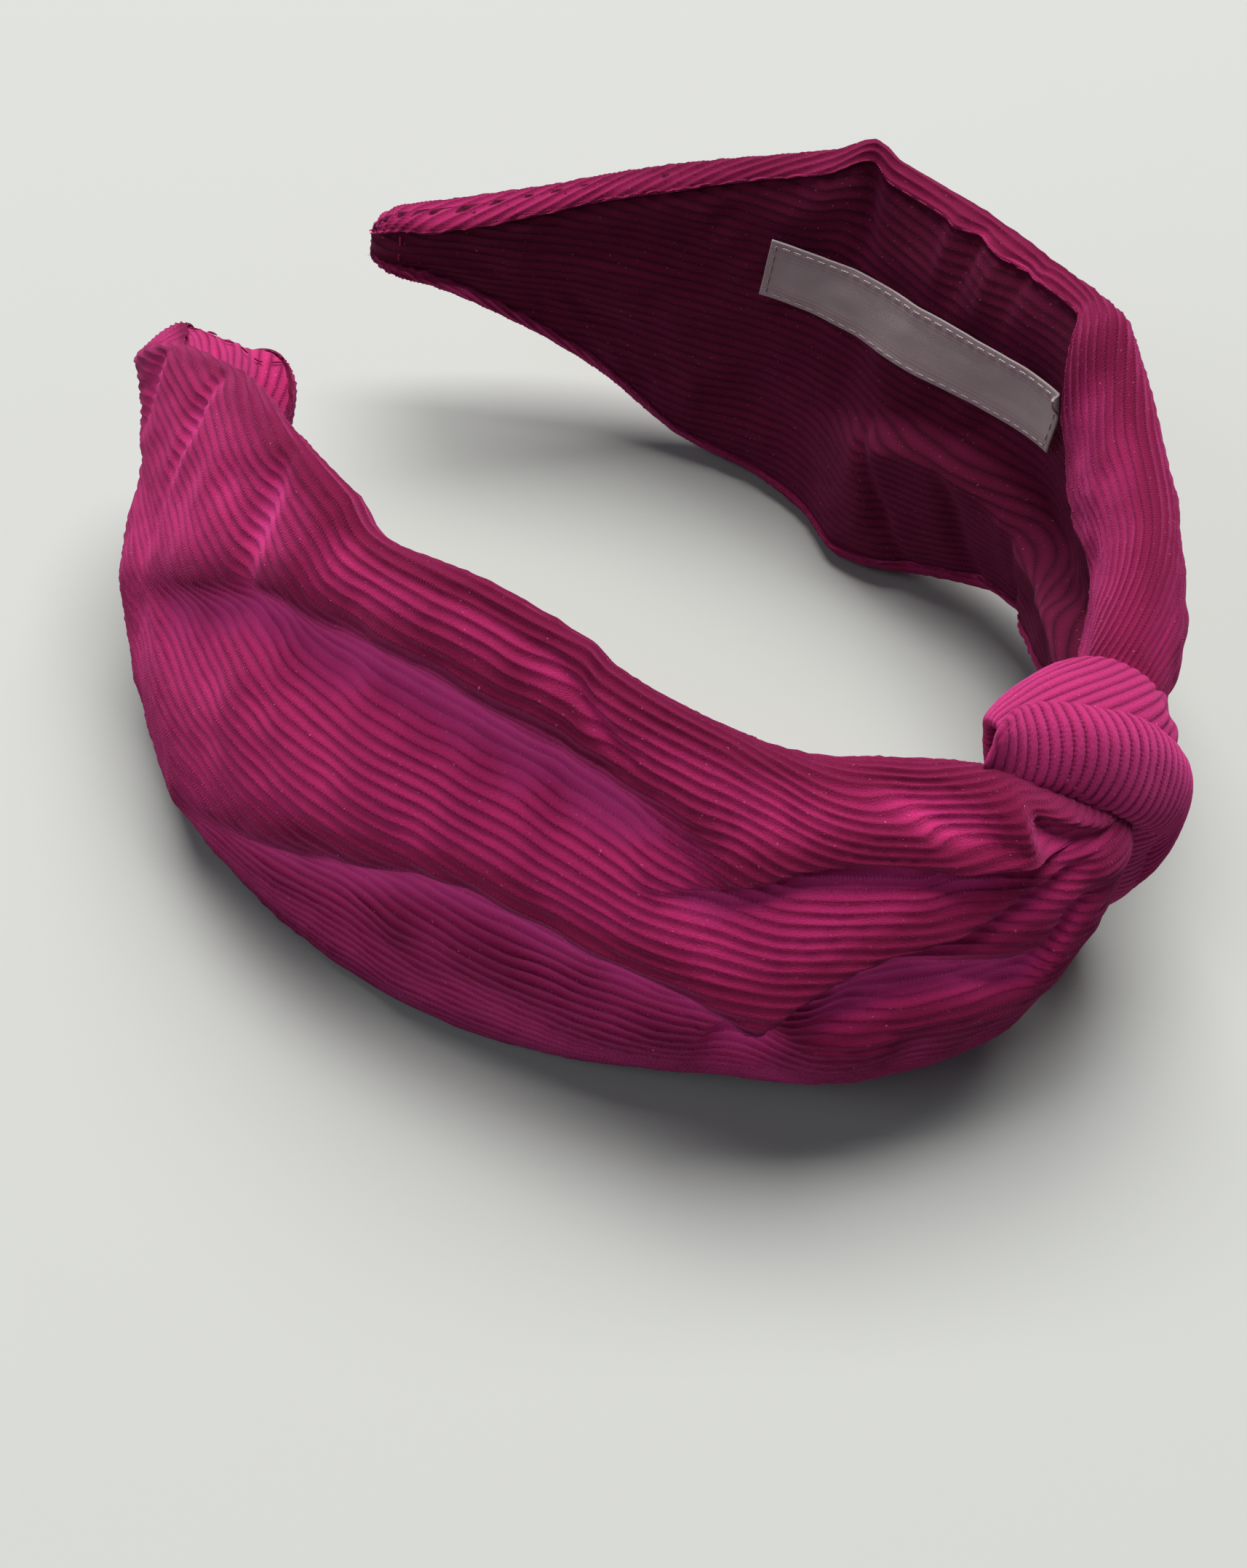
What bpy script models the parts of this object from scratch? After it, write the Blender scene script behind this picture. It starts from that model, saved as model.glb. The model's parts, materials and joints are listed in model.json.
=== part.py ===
"""Knotted headband: a springy plastic band in a wide corduroy cover, tied in a knot at the crown.

It lies on its lower edge, as when put down on a table: +Z is up, the knot is at -Y and the
two tips are at +Y. The left arm is on -X and the right arm on +X. The origin is on the table,
under the middle of the whole outline. Lengths are metres.
"""

import bisect
import math

import bmesh
import bpy
from mathutils import Vector

# ---- Driving dimensions -------------------------------------------------------------------

ARM_LENGTH = 0.190  # along the band, from the crown to one tip
ARM_TURN = math.radians(137.5)  # how far the band's heading turns over that length
TURN_EASE = -1.14  # below zero, the crown is more tightly curved than the tips
CROWN = Vector((0.00562, -0.06672))  # plan position of the band's centre line under the knot
BAND_MIDDLE = 0.0297  # height of the band's mid-plane above the table

# The cover's reach above and below the mid-plane, at shares of the way from crown to tip.
# The cloth is loose, so each arm has its own outline.
LEFT_UPPER = ((0.0, 0.0085), (0.10, 0.0130), (0.16, 0.0195), (0.25, 0.0222), (0.38, 0.0290),
              (0.60, 0.0304), (0.76, 0.0262), (0.89, 0.0160), (1.0, 0.0082))
LEFT_LOWER = ((0.0, 0.0120), (0.10, 0.0195), (0.16, 0.0260), (0.25, 0.0278), (0.38, 0.0300),
              (0.60, 0.0306), (0.76, 0.0260), (0.89, 0.0185), (1.0, 0.0100))
RIGHT_UPPER = ((0.0, 0.0085), (0.10, 0.0130), (0.16, 0.0195), (0.25, 0.0240), (0.38, 0.0296),
               (0.50, 0.0312), (0.58, 0.0310), (0.66, 0.0262), (0.76, 0.0203), (0.87, 0.0130),
               (1.0, 0.0060))
RIGHT_LOWER = ((0.0, 0.0100), (0.10, 0.0125), (0.16, 0.0165), (0.25, 0.0228), (0.36, 0.0300),
               (0.60, 0.0306), (0.70, 0.0285), (0.79, 0.0190), (0.88, 0.0100), (1.0, 0.0055))
TIP_ROUNDING = 0.035  # share of the arm over which the tip rounds off
TIP_NARROWEST = 0.45  # width left at the very end, as a share of the width there

COVER_THICKNESS = 0.0012
LINING_THICKNESS = 0.0010
COVER_START = 0.10  # where the arm's cloth starts, just clear of the knot
LEFT_BULGES = ((0.0, 0.0080), (0.10, 0.0110), (0.18, 0.0165), (0.26, 0.0160), (0.40, 0.0108),
               (0.65, 0.0092), (1.0, 0.0040))
RIGHT_BULGES = ((0.0, 0.0080), (0.20, 0.0110), (0.65, 0.0100), (1.0, 0.0040))
BELLY_LOW = 0.45  # above zero, the cover's belly hangs below the middle
LEFT_FLARE = 0.0150  # how far the left arm's lower edge stands out past its upper edge
RIGHT_FLARE = -0.0040  # the right arm's stands a little further in

LINING_INSET = 0.0028  # the lining's edges lie this far to the head side of the cover's
LINING_EDGE_DROP = 0.0022  # and this far inside the cover's width
LINING_DEPTH = 0.0032  # how much deeper the lining's middle lies than its edges

CORE_THICKNESS = 0.0016
CORE_INSET = 0.0036  # the plastic band's centre line, to the head side of the cover's edge
CORE_HALF_WIDTHS = ((0.0, 0.0074), (0.12, 0.0077), (0.35, 0.0106), (0.70, 0.0070), (0.86, 0.0045),
                    (1.0, 0.0020))
CORE_END = 0.965
FLEX_SHARE = 0.092  # the flex line, as a share of the arm from the crown
FLEX_GAP = 0.0010  # the gap in the plastic band there

THREAD_RADIUS = 0.0004
THREAD_INSET = 0.0019
THREAD_EDGE_DROP = 0.0005
THREAD_SPAN = (0.13, 0.955)

KNOT_OUTWARD = 0.0026  # centre of the loops, outward from the band's centre line
KNOT_LOOP = (0.0090, 0.0182)  # half-depth and half-height of the inner layer of loops
KNOT_FLAP = (0.0113, 0.0206)  # and of the flap folded over them
KNOT_CLOTH = 0.0020  # a loop is two layers of corduroy
KNOT_SQUARENESS = 2.6  # exponent of the loops' section: 2 is an ellipse
KNOT_SKEW = 0.0025  # the loops cross the band at a slant
KNOT_BUNDLE = (0.0135, 0.0054, 0.0150)  # half-length, -depth and -height of the gathered cloth
KNOT_BUNDLE_OUTWARD = 0.0043
KNOT_BUNDLE_BLUNTNESS = 0.45  # exponent that fills out the bundle's ends: 1 is an ellipsoid

BACKING_HALF_LENGTH = 0.0125
BACKING_HALF_HEIGHT = 0.0120
BACKING_THICKNESS = 0.0010
BACKING_INSET = 0.0084

LABEL_SPAN = (0.300, 0.640)  # share of the right arm between which the label lies
LABEL_WIDTH = 0.0125
LABEL_THICKNESS = 0.0005
LABEL_HEIGHTS = (0.0145, 0.0112)  # of its middle above the mid-plane, at the knot's and tip's end
LABEL_CLEARANCE = 0.0004
LABEL_THREAD_RADIUS = 0.0003

CORDUROY = (0.50, 0.022, 0.130)
LINING_CORDUROY = (0.30, 0.010, 0.070)
KNOT_CORDUROY = (0.53, 0.030, 0.150)
THREAD = (0.40, 0.018, 0.110)
LABEL_CLOTH = (0.66, 0.50, 0.54)
LABEL_THREAD = (0.58, 0.42, 0.46)
PLASTIC = (0.72, 0.70, 0.68)

# ---- The band's curve ---------------------------------------------------------------------

PLAN_STEPS = 400


def heading(share):
    """The band's heading in plan, from straight across at the crown."""
    return ARM_TURN * (share + TURN_EASE * (share**3 / 3 - share / 3))


def walk_plan():
    """Points of one arm's centre line in plan, evenly spaced along it from the crown."""
    points = [Vector((0.0, 0.0))]
    step = ARM_LENGTH / PLAN_STEPS
    for index in range(PLAN_STEPS):
        angle = heading((index + 0.5) / PLAN_STEPS)
        points.append(points[-1] + step * Vector((math.cos(angle), math.sin(angle))))
    return points


PLAN = walk_plan()


def plan_point(side, share, outward):
    """A point in plan: side is -1 or 1, and outward is measured away from the head."""
    place = min(max(share, 0.0), 1.0) * PLAN_STEPS
    index = min(int(place), PLAN_STEPS - 1)
    point = PLAN[index].lerp(PLAN[index + 1], place - index)
    angle = heading(share)
    point = point + outward * Vector((math.sin(angle), -math.cos(angle)))
    return Vector((CROWN.x + side * point.x, CROWN.y + point.y))


def eased(stations, share):
    """A smooth value between (share, value) stations."""
    shares = [station[0] for station in stations]
    index = min(max(bisect.bisect_right(shares, share) - 1, 0), len(stations) - 2)
    (start, low), (end, high) = stations[index], stations[index + 1]
    part = min(max((share - start) / (end - start), 0.0), 1.0)
    slopes = []
    for at in (index, index + 1):
        before = max(at - 1, 0)
        after = min(at + 1, len(stations) - 1)
        rise = stations[after][1] - stations[before][1]
        slopes.append(rise / (shares[after] - shares[before]) * (end - start))
    square, cube = part**2, part**3
    return (
        low * (2 * cube - 3 * square + 1)
        + slopes[0] * (cube - 2 * square + part)
        + high * (3 * square - 2 * cube)
        + slopes[1] * (cube - square)
    )


def half_width(side, share, across):
    """The cover's reach from the mid-plane, upward if across is above zero and else downward."""
    upper, lower = (LEFT_UPPER, LEFT_LOWER) if side < 0 else (RIGHT_UPPER, RIGHT_LOWER)
    width = eased(upper if across > 0 else lower, share)
    into_tip = max(0.0, (share - (1 - TIP_ROUNDING)) / TIP_ROUNDING)
    rounding = math.sqrt(max(0.0, 1 - into_tip**2))
    return width * (TIP_NARROWEST + (1 - TIP_NARROWEST) * rounding)


def lean(side, share, height):
    """How far the arm leans outward at this height above its mid-plane."""
    flare = LEFT_FLARE if side < 0 else RIGHT_FLARE
    builds_up = math.sin(math.pi * min(share / 1.15, 1.0))
    return flare * builds_up * (0.5 - 0.5 * height / BAND_MIDDLE)


def arm_point(side, share, height, outward):
    """A point of one arm: height is above the mid-plane, outward from the centre line."""
    plan = plan_point(side, share, outward + lean(side, share, height))
    return Vector((plan.x, plan.y, BAND_MIDDLE + height))


# ---- Building blocks ----------------------------------------------------------------------


def clear_scene():
    for obj in list(bpy.data.objects):
        bpy.data.objects.remove(obj)


def new_collection(name):
    collection = bpy.data.collections.new(name)
    bpy.context.scene.collection.children.link(collection)
    return collection


def material(name, colour, roughness):
    made = bpy.data.materials.new(name)
    made.use_nodes = True
    made.diffuse_color = (*colour, 1.0)
    shader = made.node_tree.nodes["Principled BSDF"]
    shader.inputs["Base Color"].default_value = (*colour, 1.0)
    shader.inputs["Roughness"].default_value = roughness
    shader.inputs["Metallic"].default_value = 0.0
    return made


def add_object(name, data, colour, roughness, pivot):
    """Links a new object whose data is in world coordinates, with its origin on the pivot."""
    obj = bpy.data.objects.new(name, data)
    PARTS.objects.link(obj)
    data.materials.append(material(name, colour, roughness))
    if pivot is not None:
        obj.parent = pivot
    return obj


def origin_of(pivot):
    return pivot.location if pivot is not None else Vector((0.0, 0.0, 0.0))


def sheet(name, columns, rows, place, thickness, look, pivot=None):
    """A sheet whose middle surface is place(u, v), for u from 0 to 1 and v from -1 to 1."""
    shape = bmesh.new()
    bmesh.ops.create_grid(shape, x_segments=columns, y_segments=rows, size=1.0)
    for vertex in shape.verts:
        at = place((vertex.co.x + 1) / 2, vertex.co.y)
        vertex.co = at - origin_of(pivot)
    mesh = bpy.data.meshes.new(name)
    shape.to_mesh(mesh)
    shape.free()
    mesh.shade_smooth()
    obj = add_object(name, mesh, *look, pivot)
    solidify = obj.modifiers.new("Thickness", "SOLIDIFY")
    solidify.thickness = thickness
    solidify.offset = 0.0
    return obj


def thread(name, points, radius, look, pivot=None, closed=False):
    """A thread through the points, round in section, closed into a ring or capped."""
    curve = bpy.data.curves.new(name, "CURVE")
    curve.dimensions = "3D"
    curve.bevel_depth = radius
    curve.bevel_resolution = 1
    curve.use_fill_caps = not closed
    spline = curve.splines.new("POLY")
    spline.points.add(len(points) - 1)
    for target, point in zip(spline.points, points):
        target.co = (*(point - origin_of(pivot)), 1.0)
    spline.use_cyclic_u = closed
    return add_object(name, curve, *look, pivot)


def table_cutter():
    """A block under the table's surface, which flattens the edge the band rests on."""
    size = 0.4
    bpy.ops.mesh.primitive_cube_add(size=size, location=(0.0, 0.0, -size / 2))
    cutter = bpy.context.object
    cutter.name = "table_block"
    for collection in list(cutter.users_collection):
        collection.objects.unlink(cutter)
    CUTTERS.objects.link(cutter)
    cutter.hide_render = True
    cutter.display_type = "WIRE"
    return cutter


def cut_flat(obj, cutter):
    cut = obj.modifiers.new("Resting edge", "BOOLEAN")
    cut.operation = "DIFFERENCE"
    cut.solver = "EXACT"
    cut.object = cutter


# ---- One arm ------------------------------------------------------------------------------


def cover_outward(side, share, across):
    """The outer face bulges between its edges, most of all below the middle."""
    bulge = eased(LEFT_BULGES if side < 0 else RIGHT_BULGES, share)
    return bulge * (1 - across**2) * (1 - BELLY_LOW * across)


def outer_cover(prefix, side, pivot):
    def place(u, v):
        share = COVER_START + (1 - COVER_START) * u
        height = half_width(side, share, v) * v
        outward = cover_outward(side, share, v) - COVER_THICKNESS / 2
        return arm_point(side, share, height, outward)

    look = (CORDUROY, 0.85)
    return sheet(prefix + "_outer_cover", 28, 10, place, COVER_THICKNESS, look, pivot)


def lining_outward(share, across):
    return -LINING_INSET - LINING_DEPTH * (1 - across**8)


def lining_half_width(side, share, across):
    return half_width(side, share, across) - LINING_EDGE_DROP


def inner_lining(prefix, side, pivot):
    def place(u, v):
        share = COVER_START + 0.004 + (0.986 - COVER_START) * u
        height = lining_half_width(side, share, v) * v
        return arm_point(side, share, height, lining_outward(share, v))

    look = (LINING_CORDUROY, 0.88)
    return sheet(prefix + "_inner_lining", 28, 8, place, LINING_THICKNESS, look, pivot)


def core_arm(prefix, side, pivot):
    start = FLEX_SHARE + FLEX_GAP / 2 / ARM_LENGTH

    def place(u, v):
        share = start + (CORE_END - start) * u
        height = eased(CORE_HALF_WIDTHS, share) * v
        return arm_point(side, share, height, -CORE_INSET)

    look = (PLASTIC, 0.45)
    return sheet(prefix + "_plastic_core", 28, 2, place, CORE_THICKNESS, look, pivot)


def edge_seam(prefix, side, edge, pivot):
    """The thread that joins cover and lining along the upper (1) or lower (-1) edge."""
    steps = 26
    start, end = THREAD_SPAN
    points = []
    for index in range(steps + 1):
        share = start + (end - start) * index / steps
        height = edge * (half_width(side, share, edge) - THREAD_EDGE_DROP)
        if edge < 0:
            height = max(height, THREAD_RADIUS + 0.0003 - BAND_MIDDLE)
        points.append(arm_point(side, share, height, -THREAD_INSET))
    name = prefix + ("_upper_seam" if edge > 0 else "_lower_seam")
    return thread(name, points, THREAD_RADIUS, (THREAD, 0.6), pivot)


def tip_stitch(prefix, side, pivot):
    """The stitch that closes the cloth where it is folded in at the tip."""
    steps = 6
    share = 0.978
    points = []
    for index in range(steps + 1):
        across = 2 * index / steps - 1
        height = lining_half_width(side, share, across) * across
        points.append(arm_point(side, share, height, -THREAD_INSET))
    return thread(prefix + "_tip_stitch", points, THREAD_RADIUS, (THREAD, 0.6), pivot)


def arm(prefix, side, table_block):
    pivot = bpy.data.objects.new(prefix + "_arm_pivot", None)
    PARTS.objects.link(pivot)
    pivot.location = arm_point(side, FLEX_SHARE, 0.0, -CORE_INSET)
    bpy.context.view_layer.update()
    cover = outer_cover(prefix, side, pivot)
    cut_flat(cover, table_block)
    inner_lining(prefix, side, pivot)
    core_arm(prefix, side, pivot)
    edge_seam(prefix, side, 1, pivot)
    edge_seam(prefix, side, -1, pivot)
    tip_stitch(prefix, side, pivot)
    return pivot


# ---- The label, on the right arm's lining ----------------------------------------------------


def label_point(u, v, lift):
    share = LABEL_SPAN[0] + (LABEL_SPAN[1] - LABEL_SPAN[0]) * u
    middle = LABEL_HEIGHTS[0] + (LABEL_HEIGHTS[1] - LABEL_HEIGHTS[0]) * u
    height = middle + LABEL_WIDTH / 2 * v
    across = height / lining_half_width(1, share, height)
    skin = lining_outward(share, across) - LINING_THICKNESS / 2
    return arm_point(1, share, height, skin - lift)


def label(pivot):
    lift = LABEL_CLEARANCE + LABEL_THICKNESS / 2

    def place(u, v):
        return label_point(u, v, lift)

    sheet("blank_label", 12, 2, place, LABEL_THICKNESS, (LABEL_CLOTH, 0.7), pivot)


def label_stitching(pivot):
    """One run of thread round the label, just inside its edge, lying on its face."""
    margin_u = 0.03
    margin_v = 0.80
    lift = LABEL_CLEARANCE * 2 + LABEL_THICKNESS + LABEL_THREAD_RADIUS
    along = 12
    there = [(margin_u + (1 - 2 * margin_u) * i / along, margin_v) for i in range(along + 1)]
    back = [(u, -margin_v) for u, v in reversed(there)]
    points = [label_point(u, v, lift) for u, v in there + back]
    look = (LABEL_THREAD, 0.6)
    thread("label_stitching", points, LABEL_THREAD_RADIUS, look, pivot, closed=True)


# ---- The crown: plastic band and knot ------------------------------------------------------


def crown_point(along, height, outward):
    """A point near the crown: along runs from left to right, following the band's curve."""
    side = -1 if along < 0 else 1
    plan = plan_point(side, abs(along) / ARM_LENGTH, outward)
    return Vector((plan.x, plan.y, BAND_MIDDLE + height))


def crown_core():
    end = FLEX_SHARE * ARM_LENGTH - FLEX_GAP / 2

    def place(u, v):
        along = (2 * u - 1) * end
        height = eased(CORE_HALF_WIDTHS, abs(along) / ARM_LENGTH) * v
        return crown_point(along, height, -CORE_INSET)

    sheet("crown_plastic_core", 8, 2, place, CORE_THICKNESS, (PLASTIC, 0.45))


def loop_point(radii, angle, along):
    """A point on a loop round the band: angle 0 faces outward and 90 degrees faces up."""
    power = 2 / KNOT_SQUARENESS
    cosine, sine = math.cos(angle), math.sin(angle)
    depth = radii[0] * math.copysign(abs(cosine) ** power, cosine)
    rise = radii[1] * math.copysign(abs(sine) ** power, sine)
    return crown_point(along + KNOT_SKEW * sine, rise, KNOT_OUTWARD + depth)


def knot_loop(name, radii, from_degrees, to_degrees, from_along, to_along):
    def place(u, v):
        angle = math.radians(from_degrees + (to_degrees - from_degrees) * u)
        along = from_along + (to_along - from_along) * (v + 1) / 2
        return loop_point(radii, angle, along)

    sheet(name, 18, 4, place, KNOT_CLOTH, (KNOT_CORDUROY, 0.85))


def knot_bundle():
    """The gathered cloth of both arms, squeezed through the knot in front of the plastic."""
    shape = bmesh.new()
    bmesh.ops.create_uvsphere(shape, u_segments=18, v_segments=10, radius=1.0)
    half_length, half_depth, half_height = KNOT_BUNDLE
    for vertex in shape.verts:
        rise, depth, along = vertex.co
        size = math.hypot(rise, depth)
        fuller = size**KNOT_BUNDLE_BLUNTNESS / size if size > 1e-6 else 0.0
        vertex.co = crown_point(
            half_length * along,
            half_height * rise * fuller,
            KNOT_BUNDLE_OUTWARD + half_depth * depth * fuller,
        )
    mesh = bpy.data.meshes.new("knot_gathered_cloth")
    shape.to_mesh(mesh)
    shape.free()
    mesh.shade_smooth()
    add_object("knot_gathered_cloth", mesh, CORDUROY, 0.85, None)


def knot_backing():
    """The strip that covers the loops' ends on the head side."""

    def place(u, v):
        along = (2 * u - 1) * BACKING_HALF_LENGTH
        return crown_point(along, v * BACKING_HALF_HEIGHT, -BACKING_INSET)

    sheet("knot_backing", 8, 4, place, BACKING_THICKNESS, (LINING_CORDUROY, 0.88))


def crown():
    crown_core()
    knot_bundle()
    knot_loop("knot_upper_loop", KNOT_LOOP, 32, 172, -0.0125, 0.0085)
    knot_loop("knot_lower_loop", KNOT_LOOP, -172, -20, -0.0090, 0.0075)
    knot_loop("knot_folded_flap", KNOT_FLAP, -38, 82, -0.0130, 0.0070)
    knot_backing()


clear_scene()
PARTS = new_collection("knotted_headband")
CUTTERS = new_collection("cutters")
table_block = table_cutter()
crown()
arm("left", -1, table_block)
right_pivot = arm("right", 1, table_block)
label(right_pivot)
label_stitching(right_pivot)
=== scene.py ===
"""The knotted corduroy headband's looks: ribbed cloth over a springy band, knotted at the crown.

Lengths are metres. Along an arm, q runs from 0 at the crown to 1 at the tip; v runs from -1 at the
lower edge to 1 at the upper edge. Outward is away from the head, height is above the mid-plane.
"""

import json
import math

import bmesh
import bpy
import numpy as np
from mathutils import Matrix, Vector


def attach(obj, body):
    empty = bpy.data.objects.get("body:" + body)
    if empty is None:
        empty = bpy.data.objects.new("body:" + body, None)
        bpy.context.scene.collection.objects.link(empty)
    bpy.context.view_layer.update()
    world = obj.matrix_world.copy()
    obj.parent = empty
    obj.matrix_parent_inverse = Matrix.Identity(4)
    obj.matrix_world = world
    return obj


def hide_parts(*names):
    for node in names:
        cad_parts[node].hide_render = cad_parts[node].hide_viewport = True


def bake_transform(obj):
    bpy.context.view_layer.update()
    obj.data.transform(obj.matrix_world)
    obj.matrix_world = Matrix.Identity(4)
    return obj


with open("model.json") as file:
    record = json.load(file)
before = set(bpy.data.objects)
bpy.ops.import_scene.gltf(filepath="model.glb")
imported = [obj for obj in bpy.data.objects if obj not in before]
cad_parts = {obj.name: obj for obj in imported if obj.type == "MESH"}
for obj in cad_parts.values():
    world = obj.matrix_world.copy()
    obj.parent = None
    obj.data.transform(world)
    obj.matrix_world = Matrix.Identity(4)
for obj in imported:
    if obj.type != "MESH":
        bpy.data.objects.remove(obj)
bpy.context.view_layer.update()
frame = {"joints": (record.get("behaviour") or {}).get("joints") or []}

# ---- Driving dimensions -------------------------------------------------------------------

# An arm's length and how far it curls in plan; a negative ease curls it tighter at the crown.
ARM_LENGTH = 0.190
ARM_TURN = math.radians(137.5)
TURN_EASE = -1.14
# The flex hinge's q and its distance inside the centre line; BENDS holds two q whose points are
# worked out but not used.
FLEX_SHARE = 0.092
CORE_INSET = 0.0036
BENDS = (0.055, 0.20)

RIB_PITCH = 0.00165
RIB_HEIGHT = 0.00042
FLOOR_GAP = 0.0006

# Each table below holds (q, value) stations, for the left (-1) and the right (1) arm.
# How far the cloth reaches above and below the mid-plane.
REACH_UP = {
    -1: ((0.0, 0.0062), (0.02, 0.0084), (0.04, 0.0124), (0.06, 0.0144), (0.08, 0.0158),
         (0.105, 0.0178), (0.13, 0.0200), (0.155, 0.0204), (0.19, 0.0200), (0.245, 0.0203),
         (0.30, 0.0236), (0.385, 0.0290), (0.40, 0.0308), (0.48, 0.0322), (0.57, 0.0288),
         (0.60, 0.0306), (0.70, 0.0290), (0.76, 0.0260), (0.86, 0.0182), (0.93, 0.0126),
         (1.0, 0.0104)),
    1: ((0.0, 0.006), (0.055, 0.0080), (0.08, 0.0120), (0.15, 0.0190), (0.25, 0.0246),
        (0.30, 0.0286), (0.335, 0.0322), (0.36, 0.0321), (0.42, 0.0312), (0.50, 0.0316),
        (0.57, 0.0328), (0.598, 0.0345), (0.625, 0.0312), (0.66, 0.0280), (0.70, 0.0250),
        (0.76, 0.0208), (0.87, 0.0130), (0.95, 0.0088), (1.0, 0.0075)),
}
REACH_DOWN = {
    -1: ((0.0, 0.009), (0.055, 0.0120), (0.085, 0.0185), (0.13, 0.0262), (0.20, 0.0280),
         (0.38, 0.0297), (0.60, 0.0297), (0.76, 0.0262), (0.86, 0.0186), (0.93, 0.0132),
         (1.0, 0.0112)),
    1: ((0.0, 0.009), (0.055, 0.0105), (0.10, 0.0122), (0.16, 0.0144), (0.25, 0.0186),
        (0.31, 0.0216), (0.37, 0.0250), (0.43, 0.0282), (0.50, 0.0297), (0.60, 0.0297),
        (0.70, 0.0275), (0.79, 0.0180), (0.88, 0.0098), (0.95, 0.0052), (1.0, 0.0030)),
}
# How far the outer face stands out between its edges, and the outward shift of the lower edge.
BULGE = {
    -1: ((0.0, 0.0066), (0.03, 0.0088), (0.06, 0.0130), (0.09, 0.0154), (0.16, 0.0166),
         (0.26, 0.0155), (0.40, 0.0105), (0.60, 0.0082), (0.75, 0.0058), (1.0, 0.0030)),
    1: ((0.0, 0.0055), (0.07, 0.0055), (0.20, 0.0078), (0.40, 0.0095), (0.65, 0.0095),
        (1.0, 0.0025)),
}
FLARE = {-1: 0.0150, 1: -0.0040}
TUCK = {
    -1: ((0.0, 0.0), (1.0, 0.0)),
    1: ((0.20, 0.0), (0.32, 0.0034), (0.40, -0.0030), (0.49, -0.0095), (0.56, -0.0040),
        (0.66, 0.0)),
}
# The left arm's upper rim by the knot, and its tip: shifted outward, and turned over (radians).
RIM = {
    -1: ((0.0, 0.0050), (0.04, 0.0070), (0.09, 0.0076), (0.125, 0.0056), (0.17, 0.0018),
         (0.21, 0.0)),
    1: ((0.0, 0.0), (1.0, 0.0)),
}
RIM_HEIGHT = 0.0165
TIP_SHIFT = {-1: -0.0042, 1: 0.0}
TWIST = {
    -1: ((0.76, 0.0), (0.84, 0.26), (0.91, 0.95), (1.0, 1.50)),
    1: ((0.80, 0.0), (1.0, 0.0)),
}
# How much lower than the mid-plane the bulge is fullest, and how square it is by the knot.
BELLY_LOW = 0.45
FULL_AT_KNOT = {-1: 0.9, 1: 0.5}
# The cloth's thickness at its edges, and the hollow of the head-side face.
EDGE = ((0.0, 0.0035), (0.15, 0.0030), (0.40, 0.0023), (1.0, 0.0020))
HOLLOW = ((0.0, 0.0010), (0.12, 0.0022), (0.30, 0.0037), (1.0, 0.0028))
# How far the outer cloth is turned in over the head-side face, at the upper and lower edges.
WRAP_UP = {
    -1: ((0.0, 0.010), (0.20, 0.010), (0.35, 0.006), (1.0, 0.004)),
    1: ((0.0, 0.010), (0.10, 0.0122), (0.154, 0.0131), (0.245, 0.0151), (0.296, 0.0145),
        (0.327, 0.0102), (0.349, 0.0052), (0.37, 0.0030), (0.50, 0.0026), (0.60, 0.0030),
        (1.0, 0.0025)),
}
WRAP_DOWN = {-1: ((0.0, 0.005), (1.0, 0.004)), 1: ((0.0, 0.005), (1.0, 0.004))}
# The cover's first q, and where the rounding of the tip starts and ends.
COVER_START = 0.012
TIP_START = {-1: 0.922, 1: 0.955}
TIP_END = {-1: 0.974, 1: 1.0}

# ---- Curves and grids ---------------------------------------------------------------------


def eased(stations, at):
    """A smooth value between (position, value) stations, level where it starts or ends at zero."""
    xs, ys = np.array(stations, float).T
    slopes = np.empty_like(ys)
    slopes[1:-1] = (ys[2:] - ys[:-2]) / (xs[2:] - xs[:-2])
    slopes[0] = (ys[1] - ys[0]) / (xs[1] - xs[0]) if ys[0] else 0.0
    slopes[-1] = (ys[-1] - ys[-2]) / (xs[-1] - xs[-2]) if ys[-1] else 0.0
    at = np.asarray(at, float)
    i = np.clip(np.searchsorted(xs, at, "right") - 1, 0, len(xs) - 2)
    span = xs[i + 1] - xs[i]
    t = np.clip((at - xs[i]) / span, 0, 1)
    return (
        ys[i] * (2 * t**3 - 3 * t**2 + 1)
        + slopes[i] * span * (t**3 - 2 * t**2 + t)
        + ys[i + 1] * (3 * t**2 - 2 * t**3)
        + slopes[i + 1] * span * (t**3 - t**2)
    )


def smooth(low, high, x):
    t = np.clip((x - low) / (high - low), 0, 1)
    return t * t * (3 - 2 * t)


def noise(seed, x, y):
    """Smooth value noise of unit cell, from -1 to 1."""
    table = np.random.default_rng(seed).uniform(-1, 1, (64, 64))
    i, j = np.floor(x).astype(int), np.floor(y).astype(int)
    s, t = x - i, y - j
    s, t = s * s * (3 - 2 * s), t * t * (3 - 2 * t)
    i, j, k, l = i % 64, j % 64, (i + 1) % 64, (j + 1) % 64
    low = table[i, j] * (1 - s) + table[k, j] * s
    high = table[i, l] * (1 - s) + table[k, l] * s
    return low * (1 - t) + high * t


def averaged(values, radius, axis):
    """A running mean that keeps straight slopes straight, also at the borders."""
    pad = [(0, 0)] * values.ndim
    pad[axis] = (radius + 1, radius)
    total = np.cumsum(np.pad(values, pad, mode="reflect", reflect_type="odd"), axis=axis)
    size = values.shape[axis]
    ahead = np.take(total, np.arange(2 * radius + 1, 2 * radius + 1 + size), axis=axis)
    behind = np.take(total, np.arange(size), axis=axis)
    return (ahead - behind) / (2 * radius + 1)


def heading(q):
    return ARM_TURN * (q + TURN_EASE * (q**3 / 3 - q / 3))


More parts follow.
